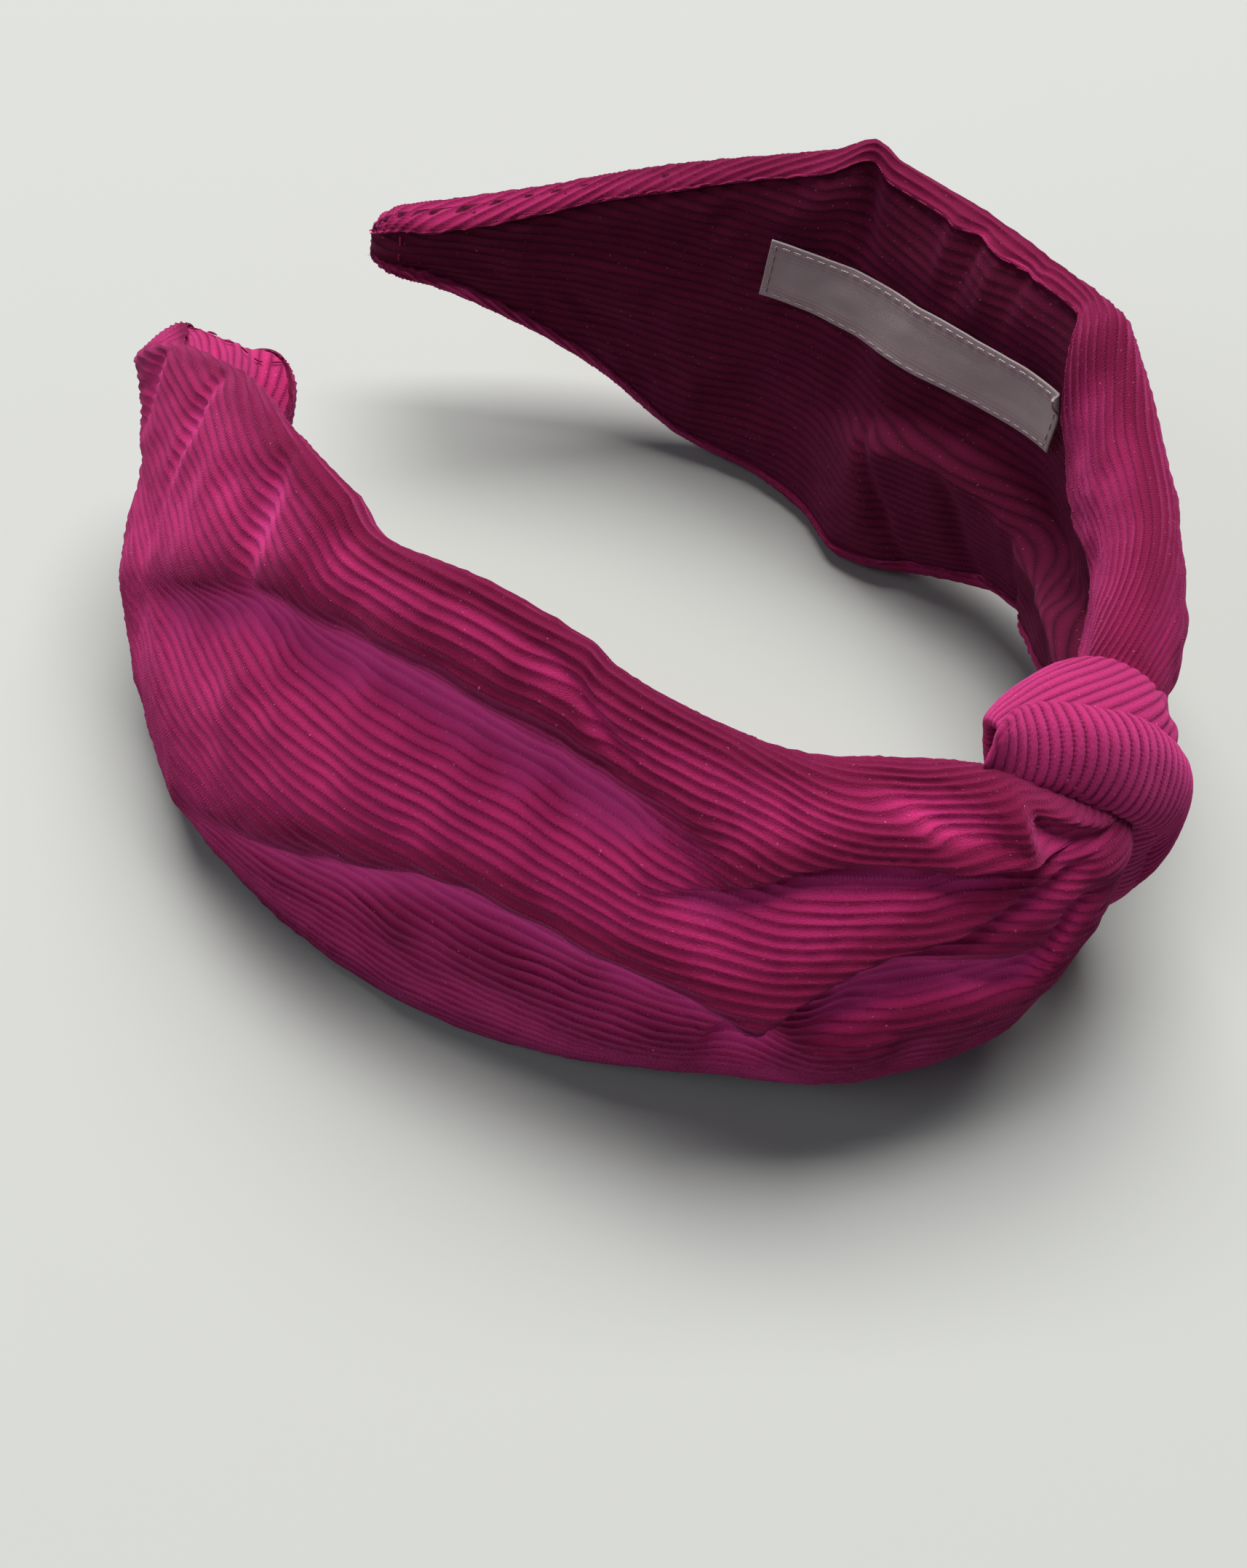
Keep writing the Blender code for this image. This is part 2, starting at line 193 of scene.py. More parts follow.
PLAN_STEPS = 800
PLAN_SHARES = np.linspace(0, 1, PLAN_STEPS + 1)
PLAN_TURNS = heading((np.arange(PLAN_STEPS) + 0.5) / PLAN_STEPS)
PLAN_X = np.concatenate([[0], np.cumsum(np.cos(PLAN_TURNS))]) * ARM_LENGTH / PLAN_STEPS
PLAN_Y = np.concatenate([[0], np.cumsum(np.sin(PLAN_TURNS))]) * ARM_LENGTH / PLAN_STEPS


def from_crown(side, q, outward):
    """Offset in plan from the crown, of a point this far outward from the band's centre line."""
    x = np.interp(q, PLAN_SHARES, PLAN_X) + outward * np.sin(heading(q))
    y = np.interp(q, PLAN_SHARES, PLAN_Y) - outward * np.cos(heading(q))
    return side * x, y


def lean(side, q, height):
    """Outward shift of the lower edge's flare and tuck, the rim by the knot and the left tip."""
    builds_up = np.sin(np.pi * np.minimum(q / 1.15, 1.0))
    low = 0.5 - 0.5 * height / MIDDLE
    high = np.clip(height / RIM_HEIGHT, 0, 1) ** 1.4
    edge = (FLARE[side] * builds_up + eased(TUCK[side], q)) * low
    return edge + eased(RIM[side], q) * high + TIP_SHIFT[side] * smooth(0.80, 0.94, q)


joint_places = {joint["child"]: Vector(joint["pos_m"]) for joint in frame["joints"]}
MIDDLE = joint_places["left_arm"].z
_flex = from_crown(-1, FLEX_SHARE, lean(-1, FLEX_SHARE, 0.0) - CORE_INSET)
CROWN = (joint_places["left_arm"].x - _flex[0], joint_places["left_arm"].y - _flex[1])


def place(side, q, height, outward):
    """World positions of points of one arm, as an array of xyz."""
    q, height, outward = np.broadcast_arrays(q, height, outward)
    turn = eased(TWIST[side], q)
    height, outward = (
        height * np.cos(turn) - outward * np.sin(turn),
        outward * np.cos(turn) + height * np.sin(turn),
    )
    x, y = from_crown(side, q, outward + lean(side, q, height))
    return np.stack([CROWN[0] + x, CROWN[1] + y, MIDDLE + height], -1)


def off_floor(points):
    return np.maximum(points, [-np.inf, -np.inf, FLOOR_GAP])


def grid_normals(points):
    """Unit normals of a grid of points, first axis crossed with second."""
    a = np.gradient(points, axis=0)
    b = np.gradient(points, axis=1)
    n = np.cross(a, b)
    return n / np.maximum(np.linalg.norm(n, axis=2, keepdims=True), 1e-12)


def add_grid(name, points, attributes, look, flip=False, close=False):
    """A mesh over a grid of points, with point attributes of the same shape."""
    rows, columns = points.shape[:2]
    index = np.arange(rows * columns).reshape(rows, columns)
    after = np.roll(index, -1, axis=1) if close else index[:, 1:]
    index_here = index if close else index[:, :-1]
    quads = [index_here[:-1], index_here[1:], after[1:], after[:-1]]
    faces = np.stack(quads[::-1] if flip else quads, -1).reshape(-1, 4)
    mesh = bpy.data.meshes.new(name)
    mesh.vertices.add(rows * columns)
    mesh.vertices.foreach_set("co", points.astype(np.float32).ravel())
    mesh.loops.add(faces.size)
    mesh.loops.foreach_set("vertex_index", faces.astype(np.int32).ravel())
    mesh.polygons.add(len(faces))
    mesh.polygons.foreach_set("loop_start", np.arange(0, faces.size, 4, dtype=np.int32))
    mesh.polygons.foreach_set("use_smooth", np.ones(len(faces), bool))
    mesh.update()
    mesh.validate()
    for key, values in attributes.items():
        if np.ndim(values) == 3:
            layer = mesh.attributes.new(key, "FLOAT_VECTOR", "POINT")
            layer.data.foreach_set("vector", values.astype(np.float32).ravel())
        else:
            layer = mesh.attributes.new(key, "FLOAT", "POINT")
            layer.data.foreach_set("value", values.astype(np.float32).ravel())
    mesh.materials.append(look)
    obj = bpy.data.objects.new(name, mesh)
    bpy.context.scene.collection.objects.link(obj)
    return obj


def rib_profile(rib):
    """Height of the pile from 0 in the valley to 1 on the rib's rounded top."""
    return np.abs(np.sin(np.pi * rib)) ** 0.62


def raise_ribs(points, rib, along, strength=1.0, seed=3):
    """Pushes a grid of points out along its normals to form the corduroy's ribs."""
    wobble = 0.07 * noise(seed, along / 0.009, rib * 0.7)
    uneven = 1 + 0.22 * noise(seed + 1, along / 0.005, rib * 0.9)
    tuft = 0.10 * noise(seed + 2, along / 0.0013, rib * 2.0)
    height = RIB_HEIGHT * strength * (rib_profile(rib + wobble) * uneven + tuft)
    return points + grid_normals(points) * height[..., None]


def crests(points, rows, columns):
    """How a grid stands above its neighbourhood, from -1 deep in a fold to 1 on a crest."""
    plain = averaged(averaged(points, rows, 0), columns, 1)
    stands = np.sum((points - plain) * grid_normals(plain), axis=2)
    return np.clip(averaged(averaged(stands, 1, 0), 2, 1) / 0.0011 - 0.12, -1, 1)


# ---- Folds --------------------------------------------------------------------------------


def groove(q, v, path, depth, width, reach=0.028):
    """A soft valley along a path of (q, v) stations; depth has (q, metres) stations."""
    d = (v - eased(path, q)) * reach / width
    return -eased(depth, q) * np.exp(-d * d)


def ledge(q, v, path, rise, drop, rise_width, drop_width, edge, reach=0.028):
    """A fold whose upper side stands proud and ends in a lip along the path."""
    d = (v - eased(path, q)) * reach
    above = 1 / (1 + np.exp(-np.clip(d / edge, -40, 40)))
    up = eased(rise, q) * above * np.exp(-np.maximum(d, 0) / rise_width)
    down = eased(drop, q) * (1 - above) * np.exp(-np.maximum(-d, 0) / drop_width)
    return up - down


def lip(q, v, path, amount, width, reach=0.028):
    """How far a fold's lip is drawn down over the valley beneath it."""
    d = (v - eased(path, q)) * reach
    above = 1 / (1 + np.exp(-np.clip(d / 0.0006, -40, 40)))
    return -eased(amount, q) * above * np.exp(-np.maximum(d, 0) / width)


def sized(shape, amount):
    """Stations of a fold's size along the arm, scaled to an amount in metres."""
    return tuple((q, amount * share) for q, share in shape)


# Each fold is a path of (q, v) and how strong it is along it.
MAIN_CREST = ((0.26, 0.56), (0.294, 0.61), (0.356, 0.65), (0.438, 0.64), (0.547, 0.62),
              (0.605, 0.50), (0.66, 0.28), (0.716, 0.0), (0.77, -0.22))
MAIN_SIZE = ((0.26, 0.0), (0.31, 0.45), (0.36, 0.8), (0.42, 1.0), (0.56, 1.0), (0.64, 0.75),
             (0.70, 0.4), (0.77, 0.0))
PLEAT_LIP = ((0.05, 0.86), (0.08, 0.82), (0.094, 0.79), (0.113, 0.75), (0.137, 0.70),
             (0.156, 0.67), (0.191, 0.68), (0.228, 0.69), (0.259, 0.63), (0.28, 0.53),
             (0.315, 0.39), (0.36, 0.30))
PLEAT_SIZE = ((0.05, 0.0), (0.08, 0.35), (0.11, 0.85), (0.15, 1.0), (0.235, 0.85), (0.28, 0.55),
              (0.36, 0.0))
TOP_LEDGE = ((0.10, 0.74), (0.137, 0.77), (0.172, 0.81), (0.187, 0.87), (0.209, 0.94),
             (0.238, 1.0), (0.27, 1.08))
TOP_LEDGE_SIZE = ((0.10, 0.0), (0.14, 0.7), (0.19, 1.0), (0.238, 1.0), (0.27, 0.2), (0.30, 0.0))
POCKET = ((0.05, 0.84), (0.084, 0.845), (0.104, 0.86), (0.119, 0.875), (0.131, 0.90))
POCKET_DEPTH = ((0.05, 0.0), (0.075, 0.0030), (0.10, 0.0064), (0.12, 0.0060), (0.134, 0.0))
TONGUE = ((0.05, 0.86), (0.08, 0.91), (0.10, 0.94), (0.13, 0.96), (0.16, 0.98))
TONGUE_SIZE = ((0.04, 0.0), (0.07, 0.7), (0.12, 1.0), (0.15, 0.5), (0.19, 0.0))
LOW_VALLEY = ((0.06, 0.74), (0.08, 0.72), (0.094, 0.67), (0.106, 0.60), (0.118, 0.52),
              (0.133, 0.42), (0.16, 0.28), (0.187, 0.22), (0.212, 0.17), (0.24, 0.04),
              (0.259, -0.09), (0.275, -0.24), (0.29, -0.40))
LOW_VALLEY_SIZE = ((0.06, 0.0), (0.09, 0.3), (0.13, 0.8), (0.16, 1.0), (0.25, 1.0),
                   (0.272, 0.7), (0.295, 0.0))
BELLY_EDGE = ((0.225, -0.34), (0.25, -0.24), (0.277, -0.15), (0.306, -0.07), (0.343, -0.04),
              (0.40, 0.0), (0.444, -0.03), (0.481, -0.14), (0.518, -0.26), (0.57, -0.46),
              (0.64, -0.75))
BELLY_SIZE = ((0.225, 0.0), (0.265, 0.8), (0.30, 1.0), (0.46, 1.0), (0.52, 0.7), (0.58, 0.4),
              (0.66, 0.0))
LOW_ROLL = ((0.07, 0.50), (0.098, 0.30), (0.11, 0.10), (0.123, -0.07), (0.158, -0.05),
            (0.193, -0.02), (0.211, -0.04), (0.238, -0.16), (0.26, -0.30))
LOW_ROLL_SIZE = ((0.07, 0.0), (0.10, 0.5), (0.13, 0.9), (0.16, 1.0), (0.22, 0.8), (0.26, 0.0))
EDGE_DITCH = ((0.36, 0.80), (0.396, 0.90), (0.424, 0.94), (0.472, 0.955), (0.54, 0.96))
EDGE_DITCH_SIZE = ((0.34, 0.0), (0.38, 1.0), (0.50, 1.0), (0.54, 0.0))


def left_folds(q, v):
    """(outward, height) shifts of the left arm's outer face."""
    out = ledge(q, v, MAIN_CREST, sized(MAIN_SIZE, 0.0026), sized(MAIN_SIZE, 0.0082), 0.0085,
                0.0105, 0.0017)
    out = out + ledge(q, v, PLEAT_LIP, sized(PLEAT_SIZE, 0.0034), sized(PLEAT_SIZE, 0.0052),
                      0.0080, 0.0085, 0.0006)
    out = out + ledge(q, v, TOP_LEDGE, sized(TOP_LEDGE_SIZE, -0.0026),
                      sized(TOP_LEDGE_SIZE, -0.0008), 0.0100, 0.0050, 0.0004)
    out = out + groove(q, v, POCKET, POCKET_DEPTH, 0.0026)
    out = out - groove(q, v, TONGUE, sized(TONGUE_SIZE, 0.0030), 0.0034)
    out = out + ledge(q, v, LOW_VALLEY, sized(LOW_VALLEY_SIZE, 0.0011),
                      sized(LOW_VALLEY_SIZE, 0.0052), 0.0060, 0.0060, 0.0007)
    out = out + ledge(q, v, BELLY_EDGE, sized(BELLY_SIZE, 0.0022), sized(BELLY_SIZE, 0.0056),
                      0.0100, 0.0280, 0.0011)
    out = out + groove(q, v, LOW_ROLL, sized(LOW_ROLL_SIZE, 0.0038), 0.0028)
    out = out + groove(q, v, EDGE_DITCH, sized(EDGE_DITCH_SIZE, 0.0014), 0.0012)
    for centre, slope, size, width in (
        (0.768, 0.10, 0.0014, 0.007),
        (0.645, 0.16, 0.0012, 0.010),
        (0.845, 0.05, 0.0012, 0.007),
    ):
        line = (q - centre + slope * (0.75 - v) * 0.3) / width
        out = out - size * np.exp(-line * line) * smooth(0.10, 0.75, v)
    height = lip(q, v, PLEAT_LIP, sized(PLEAT_SIZE, 0.0022), 0.004)
    out = out + 0.0007 * noise(21, q * 22, v * 3.0) + 0.0004 * noise(22, q * 48, v * 7.0)
    return out, height


def right_folds(q, v):
    """(outward, height) shifts of the right arm's outer face."""
    out = 0.0
    for start, end, size in ((0.55, 0.95, 0.0022), (0.10, 0.55, 0.0026), (-0.42, -0.05, 0.0024)):
        path = ((0.05, start * 0.3), (0.16, start), (0.40, end), (0.60, end * 1.02))
        depth = ((0.04, size * 0.5), (0.12, size), (0.28, size * 0.7), (0.46, 0.0))
        out = out + groove(q, v, path, depth, 0.0032)
    out = out + groove(
        q, v, ((0.30, -0.55), (0.5, -0.2), (0.75, -0.1)), ((0.3, 0.0), (0.5, 0.0028), (0.75, 0.0)),
        0.006,
    )
    out = out + 0.0008 * noise(31, q * 20, v * 3.0) + 0.0004 * noise(32, q * 44, v * 7.0)
    return out, 0.0


ROLL_CREASE = ((0.06, 0.12), (0.156, 0.08), (0.216, -0.04), (0.29, -0.14), (0.356, -0.03),
               (0.413, 0.0), (0.483, -0.08), (0.535, -0.22), (0.60, -0.42))
ROLL_SIZE = ((0.05, 0.3), (0.12, 0.8), (0.20, 1.0), (0.45, 1.0), (0.53, 0.5), (0.60, 0.0))
WRAP_EDGE = ((0.06, 0.26), (0.154, 0.28), (0.245, 0.34), (0.296, 0.46), (0.327, 0.65),
             (0.349, 0.82), (0.364, 0.95), (0.38, 1.05))
WRAP_SIZE = ((0.06, 0.3), (0.12, 0.8), (0.30, 1.0), (0.36, 0.7), (0.38, 0.0))


def inner_folds(side, q, v):
    """Outward shift of an arm's head-side face."""
    shift = 0.0009 * noise(41 + side, q * 16, v * 2.6) + 0.0004 * noise(45 + side, q * 40, v * 6)
    if side > 0:
        shift = shift + ledge(q, v, ROLL_CREASE, sized(ROLL_SIZE, 0.0024),
                              sized(ROLL_SIZE, 0.0062), 0.0080, 0.0150, 0.0009)
        shift = shift - ledge(q, v, WRAP_EDGE, sized(WRAP_SIZE, 0.0026), sized(WRAP_SIZE, 0.0004),
                              0.0100, 0.0040, 0.0006)
        for centre, slope, size in ((0.46, 0.117, 0.0015), (0.379, 0.064, 0.0018),
                                    (0.30, 0.03, 0.0010)):
            line = (q - centre - slope * (v + 0.5)) / 0.0105
            shift = shift + size * np.exp(-line * line) * (1 - smooth(-0.25, 0.0, v))
        peak = (q - 0.560 - 0.045 * v + 0.010) / 0.010
        shift = shift + 0.0026 * np.exp(-peak * peak) * smooth(0.45, 0.85, v)
        for centre, size in ((0.505, -0.0016), (0.482, 0.0022), (0.455, -0.0014), (0.43, 0.0012)):
            line = (q - centre - 0.02 * (v - 0.9)) / 0.0075
            shift = shift + size * np.exp(-line * line) * smooth(0.55, 0.9, v)
    return shift


# ---- An arm's section ---------------------------------------------------------------------


def tip_taper(side, q):
    into = np.clip((q - TIP_START[side]) / (TIP_END[side] - TIP_START[side]), 0, 1)
    return np.maximum(1 - into**2.6, 0) ** 0.5


def reach(side, q, v):
    width = np.where(v > 0, eased(REACH_UP[side], q), eased(REACH_DOWN[side], q))
    return width * (0.45 + 0.55 * tip_taper(side, q))


def edge_round(v):
    return np.sqrt(np.maximum(1 - np.abs(v) ** 12, 0))


def outer_face(side, q, v):
    """(outward, height) of the cloth's outer face."""
    taper = tip_taper(side, q)
    full = FULL_AT_KNOT[side] * (1 - smooth(0.07, 0.17, q))
    belly = (1 - full) * (1 - v**2) * (1 - BELLY_LOW * v) + full * (1 - np.abs(v) ** 3.4)
    out = eased(BULGE[side], q) * belly
    shift, drop = (left_folds if side < 0 else right_folds)(q, v)
    inside = 1 - np.abs(v) ** 10
    out = (out + shift * inside + eased(EDGE, q) * edge_round(v)) * taper
    return out, reach(side, q, v) * v + drop * inside


def inner_face(side, q, v):
    """(outward, height) of the cloth's head-side face."""
    taper = tip_taper(side, q)
    deep = eased(HOLLOW, q) * (1 - v**8) + eased(EDGE, q) * edge_round(v)
    out = inner_folds(side, q, v) * (1 - np.abs(v) ** 10) - deep
    return out * taper, reach(side, q, v) * v


def edge_spaced(count):
    """Values from -1 to 1, crowded at both ends so that the rounded edges are smooth."""
    t = np.linspace(-1, 1, count)
    return np.sign(t) * (1 - (1 - np.abs(t)) ** 2)


def arm_rows(side, count, start):
    """Shares along an arm, crowded at the rounded tip."""
    tip = max(10, count // 12)
    main = np.linspace(start, TIP_START[side], count - tip, endpoint=False)
    turn = np.linspace(0, np.pi / 2, tip)
    rounded = TIP_START[side] + (TIP_END[side] - TIP_START[side]) * np.sin(turn)
    return np.concatenate([main, rounded])


def resample(points, count):
    """Each row's curve, cut into near-equal lengths; returns (grid, length of each row)."""
    steps = np.linalg.norm(np.diff(points, axis=1), axis=2)
    radius = len(points) // 22
    steps = np.maximum(averaged(averaged(steps, radius, 0), radius, 0), 1e-9)
    length = np.concatenate([np.zeros((len(points), 1)), np.cumsum(steps, axis=1)], axis=1)
    share = np.linspace(0, 1, count)
    grid = np.empty((len(points), count, 3))
    for row, (line, run) in enumerate(zip(points, length)):
        for axis in range(3):
            grid[row, :, axis] = np.interp(share * run[-1], run, line[:, axis])
    return grid, length[:, -1]


def cover_section(side, q):
    """Dense curves round the cover: under the lower edge, up the outer face, over the upper."""
    outer_v = edge_spaced(900)[None]
    q = q[:, None]
    outer = outer_face(side, q, outer_v)
    up = eased(WRAP_UP[side], q) / eased(REACH_UP[side], q)
    down = eased(WRAP_DOWN[side], q) / eased(REACH_DOWN[side], q)
    fall = np.linspace(0, 1, 220)[None] ** 2
    over_v = 1 - np.minimum(up, 1.6) * fall
    under_v = (-1 + np.minimum(down, 0.9) * fall)[:, ::-1]
    over, under = inner_face(side, q, over_v), inner_face(side, q, under_v)
    tuck = 0.0016 * smooth(0.90, 1.0, fall) * tip_taper(side, q)
    out = np.concatenate([under[0] + tuck[:, ::-1], outer[0], over[0] + tuck], axis=1)
    height = np.concatenate([under[1], outer[1], over[1]], axis=1)
    return place(side, q, height, out)


def arm_cover(side, name, look):
    rows, columns = ((262, 372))
    q = arm_rows(side, rows, COVER_START)
    grid, length = resample(cover_section(side, q), columns)
    grid = off_floor(grid)
    across = np.linspace(-0.5, 0.5, columns)[None] * length[:, None]
    widest = length[np.searchsorted(q, 0.50)]
    full = np.maximum(length, widest * (1 - smooth(0.40, 0.62, q)))
    full = full * (1 + 0.26 * (1 - smooth(0.10, 0.42, q)))
    rib = np.linspace(-0.5, 0.5, columns)[None] * full[:, None] / RIB_PITCH
    along = np.broadcast_to(q[:, None] * ARM_LENGTH, rib.shape)
    flip = side > 0
    surface = grid if not flip else grid[:, ::-1]
    ribs = rib if not flip else rib[:, ::-1]
    fade = 1 - 0.35 * (1 - smooth(0.06, 0.20, along / ARM_LENGTH))
    raised = raise_ribs(surface, ribs, along, fade, seed=3 if side < 0 else 7)
    cloth = np.stack([along, across if not flip else across[:, ::-1], ribs], -1)
    # How far each point stands on a fold's crest or sits in a fold. The material uses it to paint a
    # highlight on crests and shade in the folds.
    painted_fold_light = crests(surface, rows // 34, columns // 13)
    made = add_grid(name, raised, {"cloth": cloth, "painted_fold_light": painted_fold_light}, look)
    proud = raised + 0.00008 * grid_normals(raised)
    inset = columns // 60
    ends = proud[:, inset], proud[:, -1 - inset]
    sewn = (q > 0.13) & (q < TIP_START[side])
    return made, [line[sewn] for line in (ends if flip else ends[::-1])]


def arm_lining(side, name, look):
    rows, columns = ((220, 230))
    q = arm_rows(side, rows, 0.07)[:, None]
    v = np.linspace(-0.97, 0.97, columns)[None]
    out, height = inner_face(side, q, v)
    points = place(side, q, height, out + 0.0009 * tip_taper(side, q))
    points = off_floor(points)
    _, length = resample(points, 3)
    widest = length[np.searchsorted(q[:, 0], 0.50)]
    full = np.maximum(length, widest * (1 - smooth(0.40, 0.62, q[:, 0])))
    rib = np.linspace(-0.5, 0.5, columns)[None] * full[:, None] / RIB_PITCH
    along = np.broadcast_to(q * ARM_LENGTH, rib.shape)
    surface, ribs = (points[:, ::-1], rib[:, ::-1]) if side < 0 else (points, rib)
    raised = raise_ribs(surface, ribs, along, 0.38, seed=13)
    cloth = np.stack([along, ribs * RIB_PITCH, ribs], -1)
    return add_grid(name, raised, {"cloth": cloth}, look)


# ---- Materials ----------------------------------------------------------------------------


def node(tree, kind, inputs=None, **settings):
    made = tree.nodes.new(kind)
    for key, value in settings.items():
        setattr(made, key, value)
    for key, value in (inputs or {}).items():
        if isinstance(value, bpy.types.NodeSocket):
            tree.links.new(value, made.inputs[key])
        else:
            made.inputs[key].default_value = value
    return made


def maths(tree, operation, *values):
    return node(tree, "ShaderNodeMath", dict(enumerate(values)), operation=operation).outputs[0]


def mixed(tree, factor, a, b):
    inputs = {"Factor": factor, 6: a, 7: b}
    return node(tree, "ShaderNodeMix", inputs, data_type="RGBA").outputs[2]


def new_material(name):
    made = bpy.data.materials.new(name)
    made.use_nodes = True
    return made, made.node_tree, made.node_tree.nodes["Principled BSDF"]


def corduroy(name, base, sheen):
    """Wales of cut pile: the rib tops are painted brighter and pinker, a painted sheen highlight.
    The valleys are painted darker: the ground weave showing there, plus painted shade. Fold crests
    and folds also get a painted highlight and painted shade.
    """
    made, tree, shader = new_material(name)
    cloth = node(tree, "ShaderNodeAttribute", attribute_name="cloth").outputs["Vector"]
    along, _, rib = node(tree, "ShaderNodeSeparateXYZ", {0: cloth}).outputs
    angle = maths(tree, "MULTIPLY", rib, math.pi)
    top = maths(tree, "POWER", maths(tree, "ABSOLUTE", maths(tree, "SINE", angle)), 0.75)
    stretched = node(tree, "ShaderNodeVectorMath", {0: cloth, 1: (2600.0, 9000.0, 0.0)},
                     operation="MULTIPLY").outputs[0]
    pile = node(tree, "ShaderNodeTexNoise", {"Vector": stretched, "Scale": 1.0, "Detail": 3.0,
                                             "Roughness": 0.6}).outputs["Fac"]
    flat = node(tree, "ShaderNodeVectorMath", {0: cloth, 1: (1.0, 1.0, 0.0)},
                operation="MULTIPLY").outputs[0]
    tone = node(tree, "ShaderNodeTexNoise", {"Vector": flat, "Scale": 110.0, "Detail": 3.0}
                ).outputs["Fac"]
    lint = node(tree, "ShaderNodeTexNoise", {"Vector": flat, "Scale": 2300.0, "Detail": 2.0}
                ).outputs["Fac"]
    weave = maths(tree, "SINE", maths(tree, "MULTIPLY", along, 2 * math.pi / 0.00042))
    valley = maths(tree, "SUBTRACT", 1.0, top)
    ladder = maths(tree, "MULTIPLY", weave, valley)
    # dark is the valleys' colour: the ground weave plus painted shade. light is the rib tops'
    # colour: a painted sheen highlight.
    dark = tuple(channel * share for channel, share in zip(base, (0.26, 0.10, 0.22))) + (1.0,)
    light = tuple(channel * share for channel, share in zip(base, (1.18, 1.9, 1.25))) + (1.0,)
    amount = maths(tree, "ADD", maths(tree, "MULTIPLY", top, 0.72),
                   maths(tree, "MULTIPLY", maths(tree, "SUBTRACT", pile, 0.42), 1.15))
    amount = maths(tree, "ADD", amount, maths(tree, "MULTIPLY", ladder, 0.035))
    amount = maths(tree, "ADD", amount,
                   maths(tree, "MULTIPLY", maths(tree, "SUBTRACT", tone, 0.5), 0.35))
    amount = node(tree, "ShaderNodeClamp", {0: amount}).outputs[0]
    colour = mixed(tree, amount, dark, light)
    # Painted light and shade: fold crests are mixed towards a lighter, pinker highlight, and folds
    # towards the deep colour, which is painted shade.
    painted_fold_light = node(tree, "ShaderNodeAttribute", attribute_name="painted_fold_light").outputs["Fac"]
    painted_crest_highlight = tuple(channel * share for channel, share in zip(base, (1.75, 4.8, 2.8))) + (1.0,)
    deep = tuple(channel * share for channel, share in zip(base, (0.20, 0.07, 0.13))) + (1.0,)
    for factor, shade in ((maths(tree, "MULTIPLY", painted_fold_light, 0.56), painted_crest_highlight),
                          (maths(tree, "MULTIPLY", painted_fold_light, -0.82), deep)):
        share = node(tree, "ShaderNodeClamp", {0: factor}).outputs[0]
        colour = mixed(tree, share, colour, shade)
    speck = node(tree, "ShaderNodeMapRange", {0: lint, 1: 0.70, 2: 0.76, 3: 0.0, 4: 0.35}
                 ).outputs[0]
    colour = mixed(tree, speck, colour, (0.85, 0.35, 0.55, 1.0))
    height = maths(tree, "ADD", maths(tree, "MULTIPLY", pile, 1.0),
                   maths(tree, "MULTIPLY", ladder, 0.16))
    bump = node(tree, "ShaderNodeBump", {"Height": height, "Distance": 0.00035, "Strength": 0.75}
                ).outputs[0]
    tree.links.new(colour, shader.inputs["Base Color"])
    tree.links.new(bump, shader.inputs["Normal"])
    shader.inputs["Roughness"].default_value = 0.95
    shader.inputs["Specular IOR Level"].default_value = 0.12
    shader.inputs["Sheen Weight"].default_value = sheen
    shader.inputs["Sheen Roughness"].default_value = 0.38
    shader.inputs["Sheen Tint"].default_value = (1.0, 0.14, 0.50, 1.0)
    return made


# ---- The knot -----------------------------------------------------------------------------

KNOT_OUTWARD = 0.0026


def near_crown(along, out, up):
    """World positions by distance along the band from the crown, to the left when negative."""
    side = np.where(along < 0, -1.0, 1.0)
    x, y = from_crown(side, np.abs(along) / ARM_LENGTH, out)
    return np.stack([CROWN[0] + x, CROWN[1] + y, MIDDLE + up], -1)


class KnotBody:
    """A rounded-box section round the band; points on it are (arc length, along the band)."""

    def __init__(self, depth, rise, squareness=2.6):
        angle = np.radians(np.linspace(-200, 200, 2001))
        power = 2 / squareness
        self.out = depth * np.sign(np.cos(angle)) * np.abs(np.cos(angle)) ** power
        self.up = rise * np.sign(np.sin(angle)) * np.abs(np.sin(angle)) ** power
        steps = np.hypot(np.diff(self.out), np.diff(self.up))
        run = np.concatenate([[0], np.cumsum(steps)])
        self.angle = np.degrees(angle)
        self.run = run - np.interp(0, self.angle, run)
        slope_out, slope_up = np.gradient(self.out), np.gradient(self.up)
        size = np.maximum(np.hypot(slope_out, slope_up), 1e-9)
        self.normal_out, self.normal_up = slope_up / size, -slope_out / size

    def arc(self, angle):
        return np.interp(angle, self.angle, self.run)

    def at(self, arc, along, lift):
        """World positions, lifted off the body's surface."""
        out = np.interp(arc, self.run, self.out) + lift * np.interp(arc, self.run, self.normal_out)
        up = np.interp(arc, self.run, self.up) + lift * np.interp(arc, self.run, self.normal_up)
        return near_crown(along, KNOT_OUTWARD + out, up)


